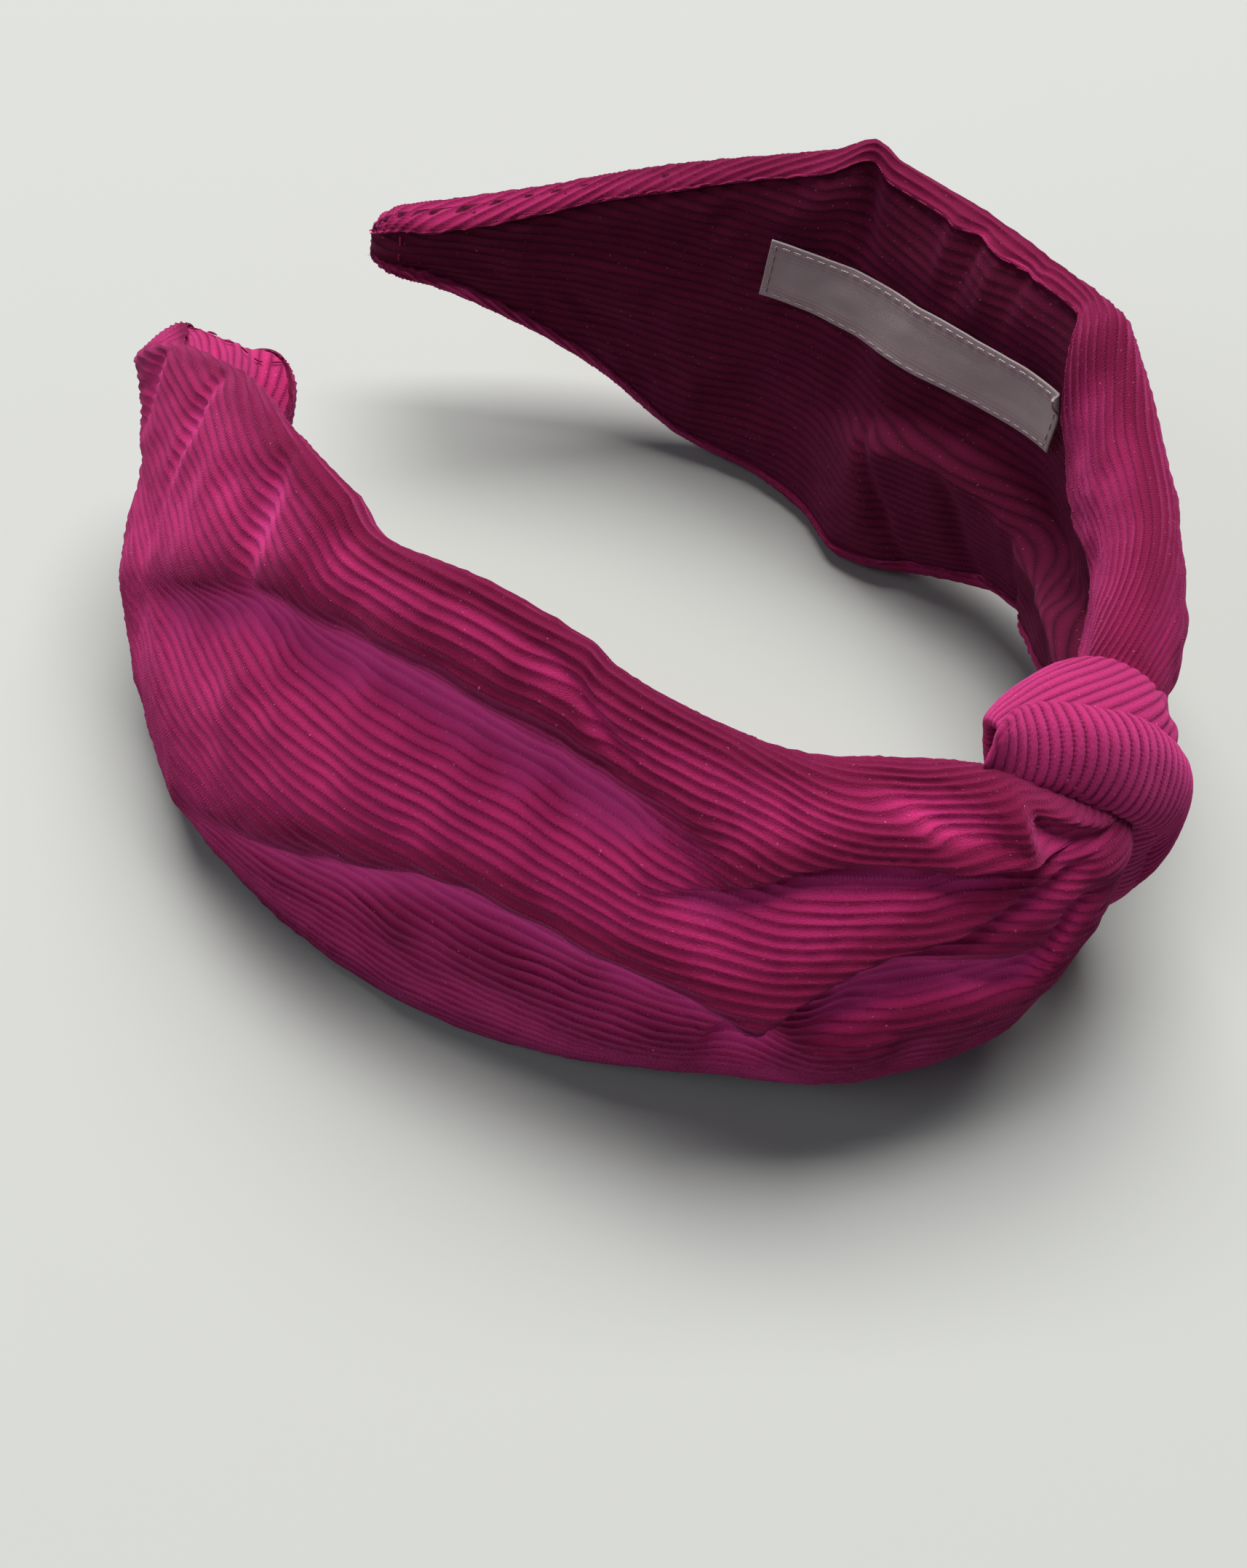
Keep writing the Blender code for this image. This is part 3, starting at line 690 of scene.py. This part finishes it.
def folded_band(name, body, first, second, look, thickness=0.0012, crown=0.0008, lift=0.0,
                rolled=0.0, sink=0.0, seed=51):
    """A strap of corduroy folded double, its ribs running across it from one edge to the other.

    first and second are its edges, as paired (degrees round the body, millimetres along) stations.
    Towards the strap's start, rolled thickens the first edge and sink draws the second one under.
    """
    rows, columns = ((340, 190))
    stations = np.linspace(0, 1, len(first))
    t = np.linspace(0, 1, rows)
    edges = []
    for edge in (first, second):
        arc = eased(tuple(zip(stations, [body.arc(angle) for angle, _ in edge])), t)
        along = 0.001 * eased(tuple(zip(stations, [millimetres for _, millimetres in edge])), t)
        edges.append(np.stack([arc, along], -1))
    middle = (edges[0] + edges[1]) / 2
    travel = np.concatenate([[0], np.cumsum(np.linalg.norm(np.diff(middle, axis=0), axis=1))])
    turn = np.linspace(0, 2 * np.pi, columns, endpoint=False)[None]
    ends = np.minimum(t / 0.09, (1 - t) / 0.02).clip(0, 1)
    ends = 0.02 + 0.98 * np.sqrt(1 - (1 - ends) ** 2)
    cross = np.sign(np.cos(turn)) * np.abs(np.cos(turn)) ** 0.55 * ends[:, None]
    shape = np.sign(np.sin(turn)) * np.abs(np.sin(turn)) ** 0.8 * ends[:, None]
    share = (1 - cross[..., None]) / 2
    spot = edges[0][:, None] * (1 - share) + edges[1][:, None] * share
    width = np.linalg.norm(edges[1] - edges[0], axis=1)[:, None]
    dimple = noise(seed, travel[:, None] / 0.007, share[..., 0] * 2.2)
    rise = lift + thickness * shape + (shape > 0) * (
        crown * (1 - cross**2) + 0.0005 * dimple * (1 - cross**4)
    )
    near_start = 1 - smooth(0.0, 0.45, t)[:, None]
    rise = rise + rolled * near_start * np.exp(-(((share[..., 0] - 0.10) / 0.13) ** 2))
    rise = rise - sink * (1 - smooth(0.02, 0.62, t)[:, None]) * smooth(0.25, 0.9, share[..., 0])
    rise = rise - 0.0028 * smooth(0.80, 1.0, t)[:, None]
    rise = rise - 0.0030 * (1 - smooth(0.0, 0.09, t)[:, None])
    points = body.at(spot[..., 0], spot[..., 1], rise)
    pitch = 0.8 * RIB_PITCH
    rib = travel[:, None] / pitch + 0 * cross
    length = share[..., 0] * width
    padded = np.concatenate([points[:, -2:], points, points[:, :2]], axis=1)
    normals = grid_normals(padded)[:, 2:-2]
    inward = np.sign(np.sum(normals * (points - points.mean(axis=1, keepdims=True))))
    height = 0.66 * RIB_HEIGHT * (
        rib_profile(rib + 0.05 * noise(seed + 1, length / 0.008, rib * 0.7))
        * (1 + 0.2 * noise(seed + 2, length / 0.005, rib * 0.9))
        + 0.10 * noise(seed + 3, length / 0.0013, rib * 2)
    )
    points = points + inward * normals * height[..., None]
    cloth = np.stack([length, rib * pitch, rib], -1)
    return add_grid(name, points, {"cloth": cloth}, look, flip=inward < 0, close=True)


def knot(look, shaded_lining_look):
    inner = KnotBody(0.0102, 0.0200)
    outer = KnotBody(0.0110, 0.0208)
    low = KnotBody(0.0086, 0.0198)
    over = folded_band(
        "knot_upper_strap", inner,
        ((24, -13.0), (45, -16.0), (62, -18.5), (80, -20.5), (96, -21.0), (120, -19.5),
         (150, -15.5), (178, -12.0)),
        ((12, 1.0), (30, 0.6), (46, 0.3), (66, 0.6), (84, 1.6), (110, 1.2), (145, 0.0),
         (178, -1.0)),
        look, crown=0.0010, seed=51,
    )
    under = folded_band(
        "knot_lower_strap", low,
        ((34, -11.5), (14, -9.6), (-4, -7.5), (-26, -4.6), (-52, -2.5), (-110, -3.0),
         (-176, -4.0)),
        ((30, 3.0), (10, 4.6), (-10, 6.0), (-32, 6.6), (-58, 6.8), (-110, 6.0), (-176, 5.0)),
        look, crown=0.0014, lift=0.0022, seed=61,
    )
    flap = folded_band(
        "knot_front_strap", outer,
        ((86, -26.6), (93, -23.4), (98, -19.1), (93, -14.2), (85, -10.2), (74, -7.0), (60, -4.4),
         (43, -1.8), (27, 0.2), (8, 1.2), (-14, 1.6), (-40, 1.6)),
        ((83, -26.8), (76, -24.4), (64, -21.4), (51, -18.0), (40, -14.8), (31, -12.0),
         (21, -9.0), (12, -6.0), (3, -3.6), (-12, -2.4), (-32, -1.8), (-56, -1.6)),
        look, thickness=0.0014, crown=0.0010, lift=0.0014, rolled=0.0016, sink=0.0050, seed=71,
    )
    for piece, cad_node in (
        (over, "knot_upper_loop"), (under, "knot_lower_loop"), (flap, "knot_folded_flap"),
    ):
        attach(piece, "crown")
        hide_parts(cad_node)
    rows = np.linspace(-1, 1, 80)[:, None]
    turn = np.linspace(0, 2 * np.pi, 120, endpoint=False)[None]
    full = np.sqrt(np.maximum(1 - rows**4, 1e-4))
    along = -0.0040 + 0.0150 * rows + 0 * turn
    folds = 1 + 0.05 * np.cos(9 * turn)
    out = 0.0056 + 0.0072 * full * np.cos(turn) * folds
    points = near_crown(along, out, 0.0165 * full * np.sin(turn) * folds)
    rib = turn / (2 * np.pi) * 36 + 0 * along
    cloth = np.stack([along, rib * RIB_PITCH, rib], -1)
    bundle = add_grid("knot_filling", points, {"cloth": cloth}, look, close=True)
    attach(bundle, "crown")
    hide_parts("knot_gathered_cloth")
    u = np.linspace(-1, 1, 60)[:, None]
    v = np.linspace(-1, 1, 60)[None]
    along = 0.0088 * u + 0 * v
    points = near_crown(along, -0.0058 + 0.0012 * v**4 + 0.0012 * u**4, 0.0066 * v + 0 * u)
    rib = v * 0.0066 / RIB_PITCH + 0 * u
    cloth = np.stack([along, rib * RIB_PITCH, rib], -1)
    ribbed = raise_ribs(points, rib, along, 0.6)
    # The backing takes the darker copy of the corduroy, which is painted shade.
    backing = add_grid("knot_backing_cloth", ribbed, {"cloth": cloth}, shaded_lining_look)
    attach(backing, "crown")
    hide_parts("knot_backing")


# ---- Band, thread and label ----------------------------------------------------------------

CORE_WIDTHS = ((0.0, 0.0040), (0.06, 0.0048), (0.14, 0.0080), (0.35, 0.0104), (0.70, 0.0068),
               (0.86, 0.0043), (1.0, 0.0018))


def core_band(side, name, look):
    """Half of the springy plastic band, with rounded edges, from the crown to the tip."""
    q = np.linspace(0.0, TIP_START[side] - 0.01, 120)[:, None]
    turn = np.linspace(0, 2 * np.pi, 24, endpoint=False)[None]
    height = eased(CORE_WIDTHS, q) * np.sign(np.cos(turn)) * np.abs(np.cos(turn)) ** 0.4
    out = 0.0003 + 0.0006 * np.sin(turn)
    points = place(side, q, height, out)
    return add_grid(name, points, {}, look, flip=side > 0, close=True)


def stitches(name, line, look, length=0.0018, gap=0.0011, radius=0.00013):
    """Separate stitches of thread along a line of points."""
    steps = np.linalg.norm(np.diff(line, axis=0), axis=1)
    run = np.concatenate([[0], np.cumsum(steps)])
    count = int(run[-1] // (length + gap))
    rings, sides = 9, 8
    starts = (np.arange(count) + 0.2) * run[-1] / count
    share = np.linspace(0, 1, rings)
    at = (starts[:, None] + share[None] * length).ravel()
    middle = np.stack([np.interp(at, run, line[:, axis]) for axis in range(3)], -1)
    middle = middle.reshape(count, rings, 3)
    tangent = middle[:, -1] - middle[:, 0]
    tangent /= np.maximum(np.linalg.norm(tangent, axis=1, keepdims=True), 1e-9)
    upward = np.array([0.0, 0.0, 1.0])
    first = np.cross(tangent, upward)
    first /= np.maximum(np.linalg.norm(first, axis=1, keepdims=True), 1e-9)
    second = np.cross(tangent, first)
    turn = np.linspace(0, 2 * np.pi, sides, endpoint=False)
    size = radius * (0.25 + 0.75 * np.sqrt(np.maximum(1 - (2 * share - 1) ** 4, 0)))
    ring = (
        np.cos(turn)[None, None, :, None] * first[:, None, None]
        + np.sin(turn)[None, None, :, None] * second[:, None, None]
    )
    points = middle[:, :, None] + size[None, :, None, None] * ring
    rows = points.reshape(count * rings, sides, 3)
    along = np.broadcast_to(at[:, None], rows.shape[:2])
    cloth = np.stack([along, turn[None] * radius + 0 * along, 0 * along], -1)
    made = add_grid(name, rows, {"cloth": cloth}, look, close=True)
    mesh = made.data
    edit = bmesh.new()
    edit.from_mesh(mesh)
    edit.faces.ensure_lookup_table()
    # The rows of faces that join one stitch to the next come out, and each end is closed.
    gaps = range(rings - 1, count * rings - 1, rings)
    joins = [edit.faces[row * sides + i] for row in gaps for i in range(sides)]
    bmesh.ops.delete(edit, geom=joins, context="FACES_ONLY")
    bmesh.ops.holes_fill(edit, edges=[e for e in edit.edges if e.is_boundary], sides=sides)
    edit.to_mesh(mesh)
    edit.free()
    return made


LABEL_SPAN = (0.320, 0.655)
LABEL_HEIGHTS = ((0.30, 0.0162), (0.36, 0.0146), (0.42, 0.0135), (0.52, 0.0129), (0.66, 0.0120))
LABEL_WIDTH = 0.0098
LABEL_LENGTH = 0.064
LABEL_LIFT = 0.0011


def label_points(u, w, lift):
    """Points over the label, u from 0 to 1 along it and w from -1 to 1 across it."""
    q = LABEL_SPAN[0] + (LABEL_SPAN[1] - LABEL_SPAN[0]) * u
    height = eased(LABEL_HEIGHTS, q) + LABEL_WIDTH / 2 * w
    v = height / eased(REACH_UP[1], q)
    out, _ = inner_face(1, q, np.clip(v, -1, 1))
    plain = -eased(HOLLOW, q) - eased(EDGE, q)
    ripple = 0.00025 * noise(81, u * 9, w * 1.4) * (1 - np.abs(w) * 0.5)
    return place(1, q, height, np.minimum(out, 0.4 * out + 0.6 * plain) - lift - np.abs(ripple))


def label(look, thread_look):
    u = np.linspace(0, 1, 220)[:, None]
    w = np.linspace(-1, 1, 50)[None]
    points = label_points(u, w, LABEL_LIFT)
    cloth = np.stack([u * LABEL_LENGTH + 0 * w, w * LABEL_WIDTH / 2 + 0 * u, w + 0 * u], -1)
    made = add_grid("label_cloth", points, {"cloth": cloth}, look)
    thick = made.modifiers.new("Thickness", "SOLIDIFY")
    thick.thickness = 0.0004
    thick.offset = 0.0
    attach(made, "right_arm")
    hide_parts("blank_label")
    lift, near, far, rim = LABEL_LIFT + 0.00035, 0.016, 0.984, 0.86
    forth = np.linspace(near, far, 200)
    down = np.linspace(rim, -rim, 40)
    lines = [
        label_points(forth, np.full(200, rim), lift),
        label_points(np.full(40, far), down, lift),
        label_points(forth[::-1], np.full(200, -rim), lift),
        label_points(np.full(40, near), -down, lift),
    ]
    thread = stitches("label_thread", np.concatenate(lines), thread_look, 0.0014, 0.0006, 0.00012)
    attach(thread, "right_arm")
    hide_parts("label_stitching")


def thread_material(name, base):
    made, tree, shader = new_material(name)
    cloth = node(tree, "ShaderNodeAttribute", attribute_name="cloth").outputs["Vector"]
    parts = node(tree, "ShaderNodeSeparateXYZ", {0: cloth}).outputs
    twist = maths(tree, "SINE", maths(
        tree, "MULTIPLY", maths(tree, "ADD", parts[0], parts[1]), 2 * math.pi / 0.00045))
    share = maths(tree, "ADD", maths(tree, "MULTIPLY", twist, 0.35), 0.6)
    dark = tuple(channel * 0.45 for channel in base) + (1.0,)
    tree.links.new(mixed(tree, share, dark, base + (1.0,)), shader.inputs["Base Color"])
    bump = node(tree, "ShaderNodeBump", {"Height": twist, "Distance": 0.0001, "Strength": 0.6})
    tree.links.new(bump.outputs[0], shader.inputs["Normal"])
    shader.inputs["Roughness"].default_value = 0.8
    shader.inputs["Specular IOR Level"].default_value = 0.2
    return made


def label_material():
    """Woven satin label with two darker lines near its edge. The pale satin is painted a darker
    grey-pink, as painted shade where the label sits in the band's shade.
    """
    made, tree, shader = new_material("label_cloth")
    cloth = node(tree, "ShaderNodeAttribute", attribute_name="cloth").outputs["Vector"]
    along, across, w = node(tree, "ShaderNodeSeparateXYZ", {0: cloth}).outputs
    warp = maths(tree, "SINE", maths(tree, "MULTIPLY", along, 2 * math.pi / 0.00030))
    weft = maths(tree, "SINE", maths(tree, "MULTIPLY", across, 2 * math.pi / 0.00034))
    weave = maths(tree, "MULTIPLY", warp, weft)
    tone = node(tree, "ShaderNodeTexNoise", {"Vector": cloth, "Scale": 160.0, "Detail": 3.0}
                ).outputs["Fac"]
    share = maths(tree, "ADD", maths(tree, "MULTIPLY", weave, 0.18),
                  maths(tree, "MULTIPLY", tone, 1.0))
    share = node(tree, "ShaderNodeClamp", {0: share}).outputs[0]
    # These base colours are the pale satin darkened to grey-pink, which is painted shade.
    colour = mixed(tree, share, (0.17, 0.125, 0.135, 1.0), (0.30, 0.24, 0.25, 1.0))
    edge = maths(tree, "ABSOLUTE", w)
    for middle, half in ((0.72, 0.030), (0.60, 0.018)):
        gap = maths(tree, "ABSOLUTE", maths(tree, "SUBTRACT", edge, middle))
        line = node(tree, "ShaderNodeMapRange", {0: gap, 1: half, 2: half * 0.5, 3: 0.0, 4: 0.75}
                    ).outputs[0]
        colour = mixed(tree, line, colour, (0.20, 0.10, 0.13, 1.0))
    tree.links.new(colour, shader.inputs["Base Color"])
    bump = node(tree, "ShaderNodeBump", {"Height": weave, "Distance": 0.0001, "Strength": 0.5})
    tree.links.new(bump.outputs[0], shader.inputs["Normal"])
    shader.inputs["Roughness"].default_value = 0.55
    shader.inputs["Sheen Weight"].default_value = 0.2
    return made


def plastic_material():
    """Milky injection-moulded plastic with faint flow marks and scuffs."""
    made, tree, shader = new_material("plastic")
    place_at = node(tree, "ShaderNodeTexCoord").outputs["Object"]
    marks = node(tree, "ShaderNodeTexNoise", {"Vector": place_at, "Scale": 220.0, "Detail": 4.0}
                 ).outputs["Fac"]
    tree.links.new(mixed(tree, marks, (0.60, 0.58, 0.55, 1.0), (0.78, 0.76, 0.73, 1.0)),
                   shader.inputs["Base Color"])
    rough = node(tree, "ShaderNodeMapRange", {0: marks, 1: 0.3, 2: 0.7, 3: 0.3, 4: 0.55}).outputs[0]
    tree.links.new(rough, shader.inputs["Roughness"])
    return made


# ---- Build --------------------------------------------------------------------------------

for name in ("Cube", "Light", "Camera"):
    if name in bpy.data.objects:
        bpy.data.objects.remove(bpy.data.objects[name])

cover_look = corduroy("corduroy", (0.43, 0.014, 0.124), 0.60)
# The knot's corduroy is a slightly darker copy of the cover's: painted shade on the same cloth.
shaded_knot_look = corduroy("knot_corduroy", (0.37, 0.014, 0.118), 0.52)
# A much darker copy of the cover's corduroy, used for the right lining and the knot's backing:
# painted shade on the band's shaded inside.
shaded_lining_look = corduroy("lining_corduroy", (0.085, 0.0022, 0.022), 0.16)
thread_look = thread_material("seam_thread", (0.26, 0.010, 0.07))
plastic_look = plastic_material()

for side, arm in ((-1, "left"), (1, "right")):
    cover, (upper_seam, lower_seam) = arm_cover(side, arm + "_cover_cloth", cover_look)
    lining = arm_lining(side, arm + "_lining_cloth", cover_look if side < 0 else shaded_lining_look)
    start, end = (Vector(place(side, share, 0.0, 0.0)) for share in BENDS)
    core = core_band(side, arm + "_core_band", plastic_look)
    upper = stitches(arm + "_upper_stitches", upper_seam, thread_look)
    lower = stitches(arm + "_lower_stitches", lower_seam, thread_look)
    across = np.linspace(-0.72, 0.72, 60)
    tip_share = (TIP_START[side] + TIP_END[side]) / 2
    tip_out, tip_height = inner_face(side, tip_share, across)
    tip_line = place(side, tip_share, tip_height, tip_out + 0.0005)
    tip = stitches(arm + "_tip_stitches", tip_line, thread_look, 0.0016, 0.0008)
    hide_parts("crown_plastic_core")
    for piece, cad_node, slot_name in (
        (cover, arm + "_outer_cover", "corduroy"),
        (lining, arm + "_inner_lining", "corduroy" if side < 0 else "lining_corduroy"),
        (core, arm + "_plastic_core", "plastic"),
        (upper, arm + "_upper_seam", "seam_thread"),
        (lower, arm + "_lower_seam", "seam_thread"),
        (tip, arm + "_tip_stitch", "seam_thread"),
    ):
        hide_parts(cad_node)
        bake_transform(piece)

knot(shaded_knot_look, shaded_lining_look)
label(label_material(), thread_material("label_thread", (0.50, 0.36, 0.40)))

# ---- Floor, light and camera --------------------------------------------------------------


def stage_and_light():
    mesh = bpy.data.meshes.new("floor")
    size = 3.0
    mesh.from_pydata([(-size, -size, 0), (size, -size, 0), (size, size, 0), (-size, size, 0)], [],
                     [(0, 1, 2, 3)])
    floor = bpy.data.objects.new("floor", mesh)
    bpy.context.scene.collection.objects.link(floor)
    made, tree, shader = new_material("floor")
    shader.inputs["Base Color"].default_value = (0.33, 0.34, 0.33, 1.0)
    shader.inputs["Roughness"].default_value = 0.9
    mesh.materials.append(made)
    bpy.context.scene.view_settings.view_transform = "Standard"
    world = bpy.data.worlds.new("sky")
    bpy.context.scene.world = world
    world.use_nodes = True
    tree = world.node_tree
    seen = node(tree, "ShaderNodeLightPath").outputs["Is Camera Ray"]
    colour = mixed(tree, seen, (0.78, 0.86, 1.0, 1.0), (0.80, 0.82, 0.81, 1.0))
    strength = node(tree, "ShaderNodeMapRange", {0: seen, 1: 0.0, 2: 1.0, 3: 0.09, 4: 0.62})
    tree.links.new(colour, tree.nodes["Background"].inputs["Color"])
    tree.links.new(strength.outputs[0], tree.nodes["Background"].inputs["Strength"])
    for name, place_at, energy, size, colour in (
        ("sky_light", (0.70, 0.78, 2.80), 222.0, 2.5, (1.0, 0.98, 0.95)),
        ("left_light", (-2.55, 0.90, 1.80), 27.0, 1.5, (0.92, 0.95, 1.0)),
    ):
        data = bpy.data.lights.new(name, "AREA")
        data.energy, data.size, data.color = energy, size, colour
        light = bpy.data.objects.new(name, data)
        light.location = place_at
        light.rotation_mode = "QUATERNION"
        light.rotation_quaternion = (Vector((0, 0, 0.03)) - light.location).to_track_quat("-Z", "Y")
        bpy.context.scene.collection.objects.link(light)


def photo_camera():
    azimuth, elevation, roll = math.radians(-60.846), math.radians(46.946), math.radians(12.577)
    target = Vector((CROWN[0] - 0.04918, CROWN[1] + 0.03852, 0.0342))
    flat = math.cos(elevation)
    back = Vector((math.sin(azimuth) * flat, -math.cos(azimuth) * flat, math.sin(elevation)))
    right = (-back).cross(Vector((0, 0, 1))).normalized()
    up = right.cross(-back)
    across = right * math.cos(roll) + up * math.sin(roll)
    upward = -right * math.sin(roll) + up * math.cos(roll)
    data = bpy.data.cameras.new("camera")
    data.lens, data.sensor_width = 49.92, 36.0
    camera = bpy.data.objects.new("camera", data)
    bpy.context.scene.collection.objects.link(camera)
    turn = Matrix((across, upward, back)).transposed().to_4x4()
    camera.matrix_world = Matrix.Translation(target + back * 0.2741) @ turn
    bpy.context.scene.camera = camera


stage_and_light()
photo_camera()
